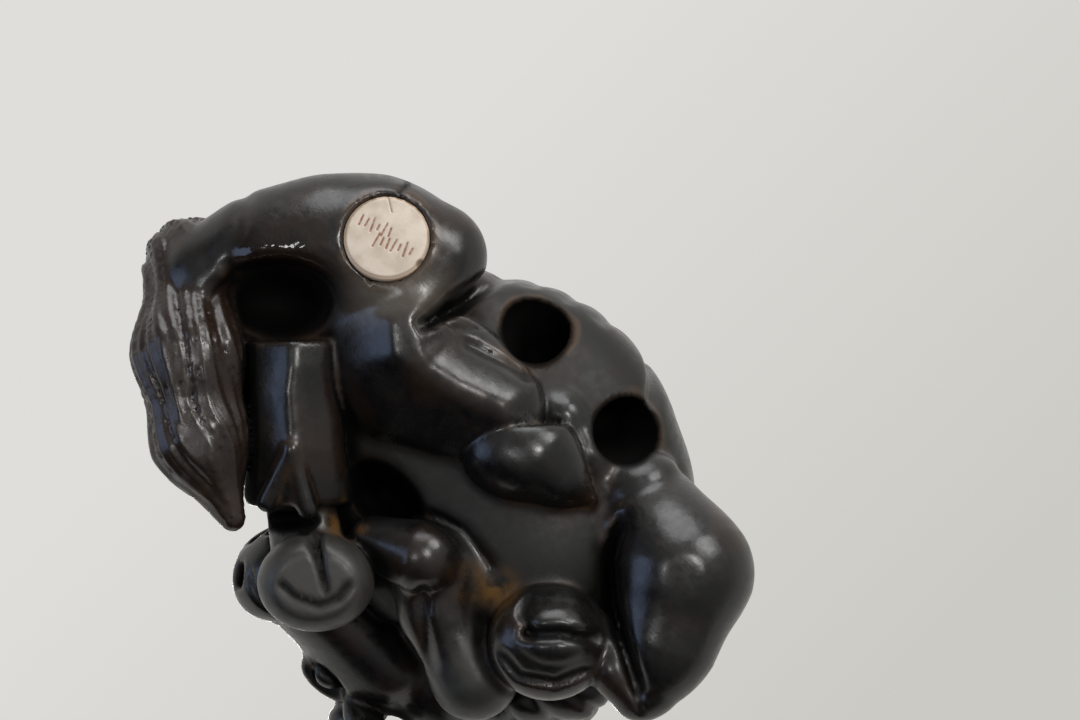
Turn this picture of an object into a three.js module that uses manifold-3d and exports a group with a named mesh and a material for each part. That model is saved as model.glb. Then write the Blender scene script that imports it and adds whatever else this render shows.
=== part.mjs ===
// A netsuke: a resting ox carved from one block of dark wood, with a pale disc let into its haunch.
// Millimetres, +Z up. The ox faces -Y, its head is turned back along its left side, +X.
import * as THREE from 'three';
import { mergeVertices } from 'three/addons/utils/BufferGeometryUtils.js';
import Module from 'manifold-3d';

// Driving sizes
const CORD_HOLE_RADIUS = 2.2;
const CORD_TUNNEL_TOP = 11; // height of the tunnel that joins the two cord holes
const DISC_RADIUS = 2.85;
const DISC_THICKNESS = 1.3;
const DISC_GAP = 0.3; // between the disc and its seat
const DISC_CROWN = 0.18; // how far the disc's face domes
const ROUND_SIDES = 28; // facets around the disc and its seat
const TAIL_LOCKS = 8;
const TAIL_TWIST = 1.9; // turn of the locks from the tail's root to its tip, radians
const TAIL_CORE = 0.8; // the solid middle's share of the tail's girth
const LOCK_OVERLAP = 1.1; // how far neighbouring locks run into each other
const SET_DOWN = [-4.9, -0.87, 0]; // centres the ox's box on the origin

// The block that the ox is carved from: where each stretch of its grid begins, and the grid's step there.
// The steps are finer at the head and the legs than on the broad back.
const GRID_STRETCHES = [
  [[-15, 1.5], [9, 1.1]],
  [[-26, 1.24], [8, 1.42]],
  [[-3, 1], [10, 1.35]],
];
const BLOCK_LOW = GRID_STRETCHES.map(([[low]]) => low);
const BLOCK_HIGH = [26, 28, 31];
const SETTLE_REACH = 0.35; // how far a vertex of the grid may move on to the form

// The belly's cord holes, and the disc's place and outward direction
const CORD_HOLES = [[-8.7, 1.6], [-8.2, -7.5]];
const DISC_CENTRE = [-6.1, 12.9, 0.85];
const DISC_NORMAL = [-0.2, 0.16, -0.97];

// Rounded masses: centre, half-sizes along, across and up, and how square the profile is
const TRUNK = { centre: [0, -2.9, 14.2], radii: [13, 13.6, 9.4], power: 2.7 };
const BACK = { centre: [0.8, -1, 15.4], radii: [9.8, 17.5, 10.2] };
const CHEST = { centre: [2.4, -9.8, 13.2], radii: [7.8, 7.6, 8.4] };
const RUMP = { centre: [2.2, 12, 14], radii: [8.8, 9, 9.6] };
const FAR_THIGH = { centre: [8.2, 11, 12], radii: [5.2, 7.4, 7.2] };
const NEAR_HAUNCH = { centre: [-2.3, 12.6, 11.5], radii: [6.2, 7, 9] };
const HIP = { centre: [5, 8.6, 21.6], radii: [1.9, 2.8, 1.8] };
const HAUNCH_PAD = { centre: [-5.3, 12.25, 4.9], radii: [4.5, 4.5, 4.1], power: 4 };
const NEAR_POCKET = { centre: [6.2, 0.8, 5.6], radii: [2.4, 3.2, 4] };
const FAR_POCKET = { centre: [1.2, 14, 4.8], radii: [4.2, 1.7, 5] };

// Limbs: points along the middle of each, and the radius at each point
const SPINE = {
  points: [[2.5, -11, 23.2], [0.8, -4, 24.6], [0.8, 5, 24.4], [1.5, 13, 23], [3, 20, 19]],
  radii: [1.3, 1.1, 1.1, 1.3, 1.5],
};
const NEAR_SHOULDER = {
  points: [[-4.8, -6.5, 20.2], [-6.3, -10.8, 13.5], [-5, -14.4, 7.6]],
  radii: [2, 2.9, 3.2],
};
const FAR_SHOULDER = { points: [[6.8, -6, 19.8], [9, -9.8, 13]], radii: [2, 3] };
const MIDLINE = 1.1; // x of the plane that the hips mirror in
const NECK = {
  points: [[2.5, -9.5, 16.5], [7.6, -14, 16.8], [12.6, -11.4, 17.2]],
  radii: [6.8, 5.6, 4.5],
};
const DEWLAP = {
  points: [[0.5, -16.4, 10.4], [6.5, -17.6, 11], [12, -13.6, 12.2]],
  radii: [1.8, 2, 1.3],
};
const THIGH = {
  points: [[4.3, 19.3, 6], [0.2, 17.8, 5.4], [-3, 15.7, 5.2], [-5.2, 13.2, 5.4], [-7.3, 10, 4.5]],
  radii: [4, 3.9, 4.1, 4.3, 3.7],
};
const SHIN = {
  points: [[-7.4, 9.3, 0], [-4, 9, 0], [-0.2, 8.7, 0], [0, 6.2, 0], [-1.3, 3.2, 0], [-1.9, 0.5, 0]],
  radii: [1.9, 2, 3.1, 4.2, 3.8, 3.4],
};
const FAR_SHANK = { points: [[3.2, 12.9, 0], [8.2, 7.2, 0]], radii: [3.1, 2.8] };
const SHANK_TOP = 8; // how high the shin and the far shank run into the belly

// Ridges of the shin and the far shank: points along the crest, and the slope and rounding of its two sides
const SHIN_RIDGE = {
  points: [
    [-9.2, 11, 2.6], [-8.2, 9.1, 1.4], [-6.3, 8.3, 0.9], [-4.3, 8.4, 0.3], [-2.9, 7.8, -0.2],
    [-2, 6.7, -0.2], [-1.9, 5, 0.2], [-2.4, 2.7, 0.6], [-3.1, 0.8, 0.9], [-3.5, -0.2, 1.2],
  ],
  slopes: [0.95, 1.1],
  rounds: [1.7, 0.6],
};
const FAR_SHANK_RIDGE = {
  points: [[2.6, 12.7, 1.4], [4.3, 11.2, 1.2], [6.2, 10, 1.2], [7.3, 8.6, 1.3], [8.7, 7.4, 1.3]],
  slopes: [0.65, 0.75],
  rounds: [0.45, 0.7],
};

// Hooves, claws and the far parts of the legs
const NEAR_CLAW = { centre: [-2.2, -3.3, 4.8], radii: [3.9, 3.2, 3.5], power: 2.2 };
const NEAR_CLAW_TIP = {
  points: [[-2.7, -4.6, 4.2], [-2.9, -6.7, 4.2], [-3.3, -8.9, 4.6]],
  radii: [2.6, 1.7, 0.7],
};
const NEAR_CLAW_BASE = { point: [-3.4, -2, 0], outward: [-0.7, 0.71, 0] };
const NEAR_CLAW_INNER = {
  points: [[-4.7, -0.9, 5.3], [-6.1, -3.8, 5.3], [-5.5, -6.8, 5.3], [-4.5, -9.4, 5.3]],
  radii: [1, 1.1, 1, 0.6],
};
const FAR_SHANK_END = { point: [3.4, 12.7, 0], outward: [-0.69, 0.72, 0] };
const DEWCLAW_ROOT = [8.6, 7.4, 2.2];
const DEWCLAW_TIPS = [[11.7, 6.9, 2.6], [10, 4.2, 2.6]];
const DEWCLAW_RADII = [0.7, 1.15]; // at the root and at the tips
const FAR_PASTERN = { points: [[10.4, 5.2, 6], [13.2, 0.8, 5]], radii: [2.2, 2.7] };
const FAR_HOOF = { centre: [13.5, 0.1, 3.4], radii: [3.9, 3.3, 3.9], power: 2.8 };
const TAIL = {
  points: [
    [3.2, 20.2, 19.5], [4.4, 22.4, 14], [4.6, 21.2, 6.8],
    [8.8, 16.9, 3.6], [12.3, 12.2, 3], [14.4, 7, 2.4],
  ],
  radii: [1.6, 1.9, 2.9, 3.5, 3, 0.9],
};
const NEAR_FORELEG = {
  points: [[-5.6, -11.8, 7.4], [-4.1, -16.8, 4.8], [0.4, -19.3, 4.2], [3.2, -20.6, 4]],
  radii: [3.6, 4.4, 3.2, 1.9],
};
const NEAR_PASTERN = {
  points: [[3.6, -20.4, 3.8], [3.5, -18.2, 3.8], [2.6, -15.8, 4.4]],
  radii: [1.8, 1.6, 1.7],
};
const NEAR_HOOF = { centre: [5.3, -13.8, 3.9], radii: [4.1, 3.9, 4], power: 2.5 };
const FAR_FETLOCK = { points: [[9, -0.8, 5.6], [7.4, -3.7, 4.2]], radii: [1.8, 2.5] };
const FAR_COLLAR = { points: [[6.9, -4.7, 6.8], [9.2, -7, 6.8]], radii: [3.4, 2.8] };
const FAR_FORESHANK = { points: [[9.2, -6.8, 6.6], [10.9, -12, 7]], radii: [2.5, 2.7] };
const FAR_FOREARM = { points: [[10.6, -12, 8.4], [6.5, -8, 14]], radii: [2.8, 4.6] };

// The head, in its own frame: along the face to the muzzle, across, and up from the brow
const HEAD_CENTRE = [15, -3.4, 15.2];
const HEAD_FORWARD = [0.13, 0.9, -0.42];
const HEAD_UP = [0.5, 0.2, 0.85];
const SKULL = { centre: [-3.8, 0, 0.6], radii: [5, 4.3, 4] };
const FACE = { points: [[-2, 0, 0.4], [5.6, 0, -0.4]], radii: [3.6, 2.7] };
const MUZZLE = { centre: [6.8, 0, -0.6], radii: [2.7, 3.4, 3], power: 2.4 };
const JAW = { points: [[-3.6, 1.4, -2], [5.4, 0.6, -1.9]], radii: [2.5, 1.8] };
const BROW = { centre: [-1.6, 3.3, 2.3], radii: [2.2, 1.1, 0.9] };
const SOCKET = { centre: [-0.9, 4.7, 1], radii: [1.9, 1.3, 1.3] };
const EYE = { centre: [-0.9, 3.5, 0.95], radii: [1.35, 0.95, 0.9] };
const NOSTRIL = { centre: [8.8, 1.5, -0.1], radii: [0.9, 0.8, 0.6] };
const HORN = {
  points: [[-5.2, 1.8, 3], [-6, 4.2, 3.9], [-7.8, 6, 4], [-10.2, 6.6, 3.4], [-12.4, 5.8, 2.4]],
  radii: [1.9, 1.75, 1.5, 1.2, 0.9],
};
const EAR = { centre: [-4.9, 5.7, -0.1], radii: [3.1, 1.7, 1.1] };
const EAR_AXES = axesFrom([-0.62, 0.72, -0.3], [0.2, 0.2, 1]);
const HEAD_AXES = axesFrom(HEAD_FORWARD, HEAD_UP);
const HOOF_AXES = axesFrom([-1, -1, 0], [0, 0, 1]);
const PAD_AXES = axesFrom([1, 0, 0], DISC_NORMAL);

// Three unit directions, along, across and up, from a forward and a rough up direction
function axesFrom(forward, up) {
  const along = new THREE.Vector3(...forward).normalize();
  const across = new THREE.Vector3(...up).cross(along).normalize();
  const rise = new THREE.Vector3().crossVectors(along, across);
  return [along.toArray(), across.toArray(), rise.toArray()];
}

function dot(a, b) {
  return a[0] * b[0] + a[1] * b[1] + a[2] * b[2];
}

function minus(a, b) {
  return [a[0] - b[0], a[1] - b[1], a[2] - b[2]];
}

function blend(a, b, reach) {
  const overlap = Math.max(reach - Math.abs(a - b), 0) / reach;
  return Math.min(a, b) - overlap * overlap * reach * 0.25;
}

function carve(a, tool, reach) {
  return -blend(-a, tool, reach);
}

// Distance to a limb that tapers between two points
function taper(p, a, b, radiusA, radiusB) {
  const ab = minus(b, a);
  const ap = minus(p, a);
  const t = Math.min(Math.max(dot(ap, ab) / dot(ab, ab), 0), 1);
  const radius = radiusA + t * (radiusB - radiusA);
  return Math.hypot(ap[0] - t * ab[0], ap[1] - t * ab[1], ap[2] - t * ab[2]) - radius;
}

function limb(p, { points, radii }, reach = 1) {
  let d = taper(p, points[0], points[1], radii[0], radii[1]);
  for (let i = 1; i < points.length - 1; i += 1) {
    d = blend(d, taper(p, points[i], points[i + 1], radii[i], radii[i + 1]), reach);
  }
  return d;
}

// Distance to a rounded mass, an ellipse in plan with a profile that a higher power squares
function mass(p, { centre, radii, power = 2 }, axes = null) {
  let q = minus(p, centre);
  if (axes) q = axes.map((axis) => dot(q, axis));
  const plan = Math.hypot(q[0] / radii[0], q[1] / radii[1]) + 1e-9;
  const rise = Math.abs(q[2]) / radii[2];
  const level = (plan ** power + rise ** power) ** (1 / power) + 1e-9;
  const planPull = (plan / level) ** (power - 1) / plan;
  const pullX = planPull * q[0] / radii[0] ** 2;
  const pullY = planPull * q[1] / radii[1] ** 2;
  const pullZ = (rise / level) ** (power - 1) / radii[2];
  return (level - 1) / Math.hypot(pullX, pullY, pullZ);
}

// Distance past a flat cut, towards its outward side
function beyond(p, { point, outward }) {
  return -dot(minus(p, point), outward);
}

// Distance past two faces that fall away from a ridge
function ridged(p, { points, slopes, rounds }) {
  let nearest = Infinity;
  let crest = 0;
  let side = 0;
  for (let i = 0; i < points.length - 1; i += 1) {
    const run = minus(points[i + 1], points[i]);
    const off = minus(p, points[i]);
    const share = (off[0] * run[0] + off[1] * run[1]) / (run[0] ** 2 + run[1] ** 2);
    const t = Math.min(Math.max(share, 0), 1);
    const gap = Math.hypot(off[0] - t * run[0], off[1] - t * run[1]);
    if (gap >= nearest) continue;
    nearest = gap;
    crest = points[i][2] + t * run[2];
    side = run[0] * off[1] > run[1] * off[0] ? 0 : 1;
  }
  const fall = Math.hypot(nearest, rounds[side]) - rounds[side];
  return (crest + slopes[side] * fall - p[2]) / Math.hypot(1, slopes[side]);
}

// A leg that lies along the belly: its plan, cut by the faces of its ridge
function ridgedLeg(p, plan, ridge) {
  const d = carve(limb([p[0], p[1], 0], plan), -ridged(p, ridge), 1);
  return Math.max(d, p[2] - SHANK_TOP);
}

function mirrored(p, midline) {
  return [Math.abs(p[0] - midline), p[1], p[2]];
}

function barrel(p) {
  const sided = mirrored(p, MIDLINE);
  let d = blend(mass(p, TRUNK), mass(p, BACK), 3);
  d = blend(d, mass(p, CHEST), 4);
  d = blend(d, mass(p, RUMP), 4);
  d = blend(d, limb(p, SPINE, 2), 2.6);
  d = blend(d, mass(sided, HIP), 2.4);
  d = blend(d, limb(p, FAR_SHOULDER), 2.2);
  d = blend(d, mass(p, NEAR_HAUNCH), 3);
  d = blend(d, mass(p, FAR_THIGH), 2);
  return carve(d, mass(p, NEAR_POCKET), 1.5);
}

// The tail's locks lie side by side around its middle line and turn on their way to the tip
function makeTailLocks() {
  const path = new THREE.CatmullRomCurve3(TAIL.points.map((point) => new THREE.Vector3(...point)));
  const steps = 3 * (TAIL.points.length - 1);
  const up = new THREE.Vector3(0, 0, 1);
  const locks = [];
  for (let lock = 0; lock < TAIL_LOCKS; lock += 1) {
    const points = [];
    const radii = [];
    for (let step = 0; step <= steps; step += 1) {
      const t = step / steps;
      const span = t * (TAIL.radii.length - 1);
      const i = Math.min(Math.floor(span), TAIL.radii.length - 2);
      const girth = THREE.MathUtils.lerp(TAIL.radii[i], TAIL.radii[i + 1], span - i);
      const thickness = girth * Math.sin(Math.PI / TAIL_LOCKS) * LOCK_OVERLAP;
      const tangent = path.getTangent(t);
      const across = new THREE.Vector3().crossVectors(tangent, up).normalize();
      const over = new THREE.Vector3().crossVectors(across, tangent);
      const angle = 2 * Math.PI * lock / TAIL_LOCKS + TAIL_TWIST * t;
      const place = path.getPoint(t);
      place.addScaledVector(across, Math.cos(angle) * (girth - thickness));
      place.addScaledVector(over, Math.sin(angle) * (girth - thickness));
      points.push(place.toArray());
      radii.push(thickness);
    }
    locks.push({ points, radii });
  }
  return locks;
}

const tailLocks = makeTailLocks();
const tailCore = { points: TAIL.points, radii: TAIL.radii.map((radius) => radius * TAIL_CORE) };

function tail(p) {
  const core = limb(p, tailCore, 1.5);
  const beyondLocks = 4;
  if (core > beyondLocks) return core;
  return tailLocks.reduce((d, lock) => blend(d, limb(p, lock, 0.4), 0.3), core);
}

function nearHindLeg(p) {
  let claw = blend(mass(p, NEAR_CLAW, HOOF_AXES), limb(p, NEAR_CLAW_TIP), 1.6);
  claw = carve(claw, beyond(p, NEAR_CLAW_BASE), 0.4);
  claw = blend(claw, limb(p, NEAR_CLAW_INNER, 1.2), 0.3);
  return blend(ridgedLeg(p, SHIN, SHIN_RIDGE), claw, 0.3);
}

function farHindLeg(p) {
  let d = ridgedLeg(p, FAR_SHANK, FAR_SHANK_RIDGE);
  d = carve(d, beyond(p, FAR_SHANK_END), 0.4);
  for (const tip of DEWCLAW_TIPS) {
    d = blend(d, taper(p, DEWCLAW_ROOT, tip, ...DEWCLAW_RADII), 0.9);
  }
  d = blend(d, limb(p, FAR_PASTERN), 0.8);
  return blend(d, mass(p, FAR_HOOF, HOOF_AXES), 0.5);
}

function nearForeleg(p) {
  const leg = blend(limb(p, NEAR_FORELEG, 2.2), limb(p, NEAR_PASTERN), 0.5);
  return blend(leg, mass(p, NEAR_HOOF, HOOF_AXES), 0.4);
}

function farForeleg(p) {
  let d = blend(limb(p, FAR_COLLAR), limb(p, FAR_FETLOCK), 0.3);
  d = blend(d, limb(p, FAR_FORESHANK), 0.8);
  return blend(d, limb(p, FAR_FOREARM), 1.5);
}

function head(p) {
  const q = HEAD_AXES.map((axis) => dot(minus(p, HEAD_CENTRE), axis));
  q[1] = Math.abs(q[1]);
  let d = blend(mass(q, SKULL), limb(q, FACE), 2);
  d = blend(d, limb(q, JAW), 1.6);
  d = blend(d, mass(q, MUZZLE), 1.2);
  d = blend(d, mass(q, BROW), 0.9);
  d = carve(d, mass(q, SOCKET), 0.6);
  d = blend(d, mass(q, EYE), 0.2);
  d = carve(d, mass(q, NOSTRIL), 0.5);
  d = blend(d, limb(q, HORN, 0.8), 0.5);
  return blend(d, mass(q, EAR, EAR_AXES), 0.4);
}

function carvedForm(p) {
  let d = blend(barrel(p), limb(p, NECK, 3), 1.6);
  d = blend(d, limb(p, DEWLAP, 1.5), 2);
  d = blend(d, blend(limb(p, THIGH, 2), mass(p, HAUNCH_PAD, PAD_AXES), 1), 1.2);
  d = carve(d, mass(p, FAR_POCKET, HOOF_AXES), 1);
  d = blend(d, limb(p, NEAR_SHOULDER, 2), 2);
  d = blend(d, tail(p), 0.4);
  d = blend(d, farForeleg(p), 0.6);
  d = blend(d, nearForeleg(p), 1);
  d = blend(d, farHindLeg(p), 0.5);
  d = blend(d, nearHindLeg(p), 0.9);
  return blend(d, head(p), 0.8);
}

const CORNERS = [0, 1, 2, 3, 4, 5, 6, 7].map((i) => [i & 1, (i >> 1) & 1, i >> 2]);
const CELL_EDGES = [1, 2, 4].flatMap((bit) => [0, 1, 2, 3, 4, 5, 6, 7]
  .filter((i) => !(i & bit))
  .map((i) => [i, i | bit]));
const CELL_FACES = [[0, 1, 3, 2], [4, 5, 7, 6], [0, 1, 5, 4], [2, 3, 7, 6], [0, 2, 6, 4], [1, 3, 7, 5]];

// True where the inside corners of a cell, or the outside ones, hang together along its edges
function joined(signs, side) {
  const group = CORNERS.map((_, i) => i);
  for (let pass = 0; pass < 4; pass += 1) {
    for (const [i, j] of CELL_EDGES) {
      if (signs[i] === side && signs[j] === side) group[i] = group[j] = Math.min(group[i], group[j]);
    }
  }
  return new Set(group.filter((_, i) => signs[i] === side)).size <= 1;
}

function tangled(signs) {
  const crossed = CELL_FACES.some((face) => {
    const [a, b, c, d] = face.map((corner) => signs[corner]);
    return a === c && b === d && a !== b;
  });
  return crossed || !joined(signs, true) || !joined(signs, false);
}

// The grid's planes along one axis
function planes(stretches, high) {
  const places = [stretches[0][0]];
  while (places.at(-1) < high) {
    const last = places.at(-1);
    const [, step] = stretches.findLast(([begin]) => last >= begin);
    places.push(last + step);
  }
  return places;
}

// Gaps narrower than a cell are closed, so that the surface never touches itself
function closeNarrowGaps(values, cells, cornersOf, depth) {
  for (let changed = true; changed;) {
    changed = false;
    for (const place of cells) {
      const corners = cornersOf(place);
      const signs = corners.map((corner) => values[corner] < 0);
      if (signs.every(Boolean) || !signs.some(Boolean) || !tangled(signs)) continue;
      const outside = corners.filter((corner) => values[corner] >= 0);
      outside.sort((a, b) => values[a] - values[b]);
      values[outside[0]] = -depth;
      changed = true;
    }
  }
}

// What the open air around the block doesn't reach is solid
function fillHollows(values, strides, depth) {
  const open = new Set([0]);
  for (const here of open) {
    for (const stride of strides.flatMap((step) => [-step, step])) {
      if (values[here + stride] >= 0) open.add(here + stride);
    }
  }
  values.forEach((value, here) => {
    if (value >= 0 && !open.has(here)) values[here] = -depth;
  });
}

// Moves a point on to the form, by a part of a step at most
function settle(field, point, most) {
  const probe = 0.05;
  const d = field(point);
  const slope = [0, 1, 2].map((axis) => {
    const beside = [...point];
    beside[axis] += probe;
    return (field(beside) - d) / probe;
  });
  const steepness = Math.max(dot(slope, slope), 0.25);
  const move = Math.min(Math.max(d / steepness, -most), most);
  return point.map((value, axis) => value - move * slope[axis]);
}

// A closed faceted surface of a distance field: one vertex in each cell that the surface crosses
function facet(field) {
  const grid = GRID_STRETCHES.map((stretches, axis) => planes(stretches, BLOCK_HIGH[axis]));
  const count = grid.map((places) => places.length);
  const strides = [1, count[0], count[0] * count[1]];
  const at = (i, j, k) => i + strides[1] * j + strides[2] * k;
  const values = new Float64Array(count[0] * count[1] * count[2]);
  const cells = [];
  for (let k = 0; k < count[2]; k += 1) {
    for (let j = 0; j < count[1]; j += 1) {
      for (let i = 0; i < count[0]; i += 1) {
        values[at(i, j, k)] = field([grid[0][i], grid[1][j], grid[2][k]]);
        if (i < count[0] - 1 && j < count[1] - 1 && k < count[2] - 1) cells.push([i, j, k]);
      }
    }
  }
  const filled = 0.1;
  const cornersOf = ([i, j, k]) => CORNERS.map(([a, b, c]) => at(i + a, j + b, k + c));
  closeNarrowGaps(values, cells, cornersOf, filled);
  fillHollows(values, strides, filled);

  const points = [];
  const vertexOf = new Map();
  for (const place of cells) {
    const corners = cornersOf(place).map((corner) => values[corner]);
    const sum = [0, 0, 0];
    let crossings = 0;
    for (const [a, b] of CELL_EDGES) {
      if ((corners[a] < 0) === (corners[b] < 0)) continue;
      const t = corners[a] / (corners[a] - corners[b]);
      for (let axis = 0; axis < 3; axis += 1) {
        sum[axis] += THREE.MathUtils.lerp(CORNERS[a][axis], CORNERS[b][axis], t);
      }
      crossings += 1;
    }
    if (crossings === 0) continue;
    const sides = grid.map((places, axis) => [places[place[axis]], places[place[axis] + 1]]);
    const middle = sides.map(([near, far], axis) => THREE.MathUtils.lerp(near, far, sum[axis] / crossings));
    vertexOf.set(at(...place), points.length);
    points.push(settle(field, middle, SETTLE_REACH));
  }

  const triangles = [];
  const span = (a, b) => Math.hypot(...minus(points[a], points[b]));
  for (const place of cells) {
    const here = at(...place);
    const inside = values[here] < 0;
    for (let axis = 0; axis < 3; axis += 1) {
      const u = (axis + 1) % 3;
      const v = (axis + 2) % 3;
      if (place[u] === 0 || place[v] === 0 || inside === (values[here + strides[axis]] < 0)) continue;
      const ring = [here - strides[u] - strides[v], here - strides[v], here, here - strides[u]];
      const [a, b, c, d] = (inside ? ring : ring.reverse()).map((corner) => vertexOf.get(corner));
      if (span(a, c) < span(b, d)) triangles.push(a, b, c, a, c, d);
      else triangles.push(a, b, d, b, c, d);
    }
  }
  const geometry = new THREE.BufferGeometry();
  geometry.setAttribute('position', new THREE.Float32BufferAttribute(points.flat(), 3));
  geometry.setIndex(triangles);
  return geometry;
}

const wasm = await Module();
wasm.setup();

function toSolid(source) {
  const bare = source.clone();
  bare.deleteAttribute('normal');
  bare.deleteAttribute('uv');
  const merged = mergeVertices(bare, 1e-4);
  return new wasm.Manifold(new wasm.Mesh({
    numProp: 3,
    vertProperties: Float32Array.from(merged.attributes.position.array),
    triVerts: Uint32Array.from(merged.index.array),
  }));
}

function toGeometry(solid) {
  const mesh = solid.getMesh();
  const geometry = new THREE.BufferGeometry();
  geometry.setAttribute('position', new THREE.BufferAttribute(Float32Array.from(mesh.vertProperties), 3));
  geometry.setIndex(Array.from(mesh.triVerts));
  geometry.computeVertexNormals();
  return geometry;
}

// A round bar that follows the cord's way in at one hole, across and out at the other
function cordTunnel() {
  const [[x1, y1], [x2, y2]] = CORD_HOLES;
  const below = -4; // where the bar ends, under the belly
  const shoulder = CORD_TUNNEL_TOP - CORD_HOLE_RADIUS;
  const inset = 1; // how far the tunnel bends in towards the middle of the belly
  const path = new THREE.CatmullRomCurve3([
    new THREE.Vector3(x1, y1, below),
    new THREE.Vector3(x1, y1, shoulder / 2),
    new THREE.Vector3(x1 + inset / 2, y1 - inset, shoulder),
    new THREE.Vector3(x1 + inset, (y1 + y2) / 2, CORD_TUNNEL_TOP),
    new THREE.Vector3(x2 + inset / 2, y2 + inset, shoulder),
    new THREE.Vector3(x2, y2, shoulder / 2),
    new THREE.Vector3(x2, y2, below),
  ]);
  const ring = new THREE.Shape().absarc(0, 0, CORD_HOLE_RADIUS, 0, 2 * Math.PI);
  return new THREE.ExtrudeGeometry(ring, { curveSegments: 8, steps: 18, extrudePath: path });
}

function faceDisc(geometry) {
  const turn = new THREE.Quaternion();
  turn.setFromUnitVectors(new THREE.Vector3(0, 1, 0), new THREE.Vector3(...DISC_NORMAL).normalize());
  geometry.applyQuaternion(turn);
  return geometry.translate(...DISC_CENTRE);
}

// A disc with a slightly domed face, turned about its axis
function discGeometry() {
  const rim = 0.15; // the worn edge of the face
  const rings = 3;
  const profile = [
    new THREE.Vector2(0, -DISC_THICKNESS),
    new THREE.Vector2(DISC_RADIUS, -DISC_THICKNESS),
    new THREE.Vector2(DISC_RADIUS, -rim),
  ];
  for (let ring = 0; ring <= rings; ring += 1) {
    const radius = (DISC_RADIUS - rim) * (1 - ring / rings);
    profile.push(new THREE.Vector2(radius, DISC_CROWN * (1 - (radius / DISC_RADIUS) ** 2)));
  }
  return faceDisc(new THREE.LatheGeometry(profile, ROUND_SIDES));
}

// The hole that the disc lies in, open far below it
function discSeat() {
  const depth = DISC_THICKNESS + DISC_GAP;
  const reach = 4;
  const radius = DISC_RADIUS + DISC_GAP;
  const seat = new THREE.CylinderGeometry(radius, radius, depth + reach, ROUND_SIDES);
  return faceDisc(seat.translate(0, (reach - depth) / 2, 0));
}

// The ground that the resting ox is flattened on
function ground() {
  const depth = 8;
  const size = BLOCK_HIGH.map((value, axis) => value - BLOCK_LOW[axis] + depth);
  return new THREE.BoxGeometry(size[0], size[1], depth).translate(
    (BLOCK_LOW[0] + BLOCK_HIGH[0]) / 2,
    (BLOCK_LOW[1] + BLOCK_HIGH[1]) / 2,
    -depth / 2,
  );
}

function oxGeometry() {
  let solid = toSolid(facet(carvedForm));
  for (const tool of [cordTunnel(), discSeat(), ground()]) {
    solid = solid.subtract(toSolid(tool));
  }
  return toGeometry(solid);
}

const stainedWood = new THREE.MeshStandardMaterial({ color: 0x1f1a17, roughness: 0.32, metalness: 0 });
const paleBone = new THREE.MeshStandardMaterial({ color: 0xd8cbb8, roughness: 0.45, metalness: 0 });

const netsuke = new THREE.Group();
netsuke.position.set(...SET_DOWN);

const ox = new THREE.Mesh(oxGeometry(), stainedWood);
ox.name = 'carved_ox';
netsuke.add(ox);

const disc = new THREE.Mesh(toGeometry(toSolid(discGeometry())), paleBone);
disc.name = 'inlaid_disc';
netsuke.add(disc);

export default netsuke;
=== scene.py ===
# The looks of a netsuke: a resting ox carved from dark stained wood, with a pale disc let into its haunch.
# The carving is worked out in millimetres as a distance form and meshed, then placed in metres.
import math

import bpy
import numpy as np
from mathutils import Matrix, Vector


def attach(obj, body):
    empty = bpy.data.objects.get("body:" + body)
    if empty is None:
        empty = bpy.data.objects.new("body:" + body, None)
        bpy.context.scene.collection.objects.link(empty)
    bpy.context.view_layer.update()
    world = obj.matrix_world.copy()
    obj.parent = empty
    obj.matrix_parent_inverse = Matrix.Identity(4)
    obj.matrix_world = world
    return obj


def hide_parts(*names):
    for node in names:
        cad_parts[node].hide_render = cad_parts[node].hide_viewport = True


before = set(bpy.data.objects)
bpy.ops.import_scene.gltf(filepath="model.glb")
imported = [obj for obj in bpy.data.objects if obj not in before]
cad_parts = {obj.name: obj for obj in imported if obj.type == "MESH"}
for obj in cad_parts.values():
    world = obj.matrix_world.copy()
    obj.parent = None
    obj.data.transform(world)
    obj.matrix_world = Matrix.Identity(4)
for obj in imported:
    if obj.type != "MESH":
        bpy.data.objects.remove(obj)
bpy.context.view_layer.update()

F = np.float32
MM = 0.001
SET_DOWN = (-4.9, -0.87, 0)  # from the sculpt's own origin to the part's, mm
CELL = 0.29  # edge of a grid cell of the carving's mesh, mm
BLOCK_LOW = (-16, -27, -1.5)
BLOCK_HIGH = (26, 29, 32)
FAR_AWAY = 1e3  # more than any distance in the carving, mm

# Cord holes and disc
CORD_HOLE_RADIUS = 2.2
CORD_HOLES = ((-8.7, 1.6), (-8.2, -7.5))
CORD_TUNNEL_TOP = 11
DISC_RADIUS = 2.85
DISC_THICKNESS = 1.3
DISC_CROWN = 0.18
DISC_CENTRE = (-6.1, 12.9, 0.85)
DISC_NORMAL = (-0.2, 0.16, -0.97)
SEAT_GAP = 0.06

# Rounded masses: centre, half-sizes along, across and up, and how square the profile is
TRUNK = dict(centre=(0, -2.9, 14.2), radii=(13, 13.6, 9.4), power=2.7)
BACK = dict(centre=(0.8, -1, 15.4), radii=(9.8, 17.5, 10.2))
CHEST = dict(centre=(2.4, -9.8, 13.2), radii=(7.8, 7.6, 8.4))
RUMP = dict(centre=(2.2, 12, 14), radii=(8.8, 9, 9.6))
FAR_THIGH = dict(centre=(8.2, 11, 12), radii=(5.2, 7.4, 7.2))
NEAR_HAUNCH = dict(centre=(-2.3, 12.6, 11.5), radii=(6.2, 7, 9))
HIP = dict(centre=(5, 8.6, 21.6), radii=(1.9, 2.8, 1.8))
HAUNCH_PAD = dict(centre=(-5.3, 12.25, 4.9), radii=(4.5, 4.5, 4.1), power=4)
NEAR_POCKET = dict(centre=(6.5, 0.7, 5.5), radii=(1.9, 3.1, 6.5))
FAR_POCKET = dict(centre=(2.3, 15.2, 0), radii=(4.3, 3, 7.5))
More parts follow.
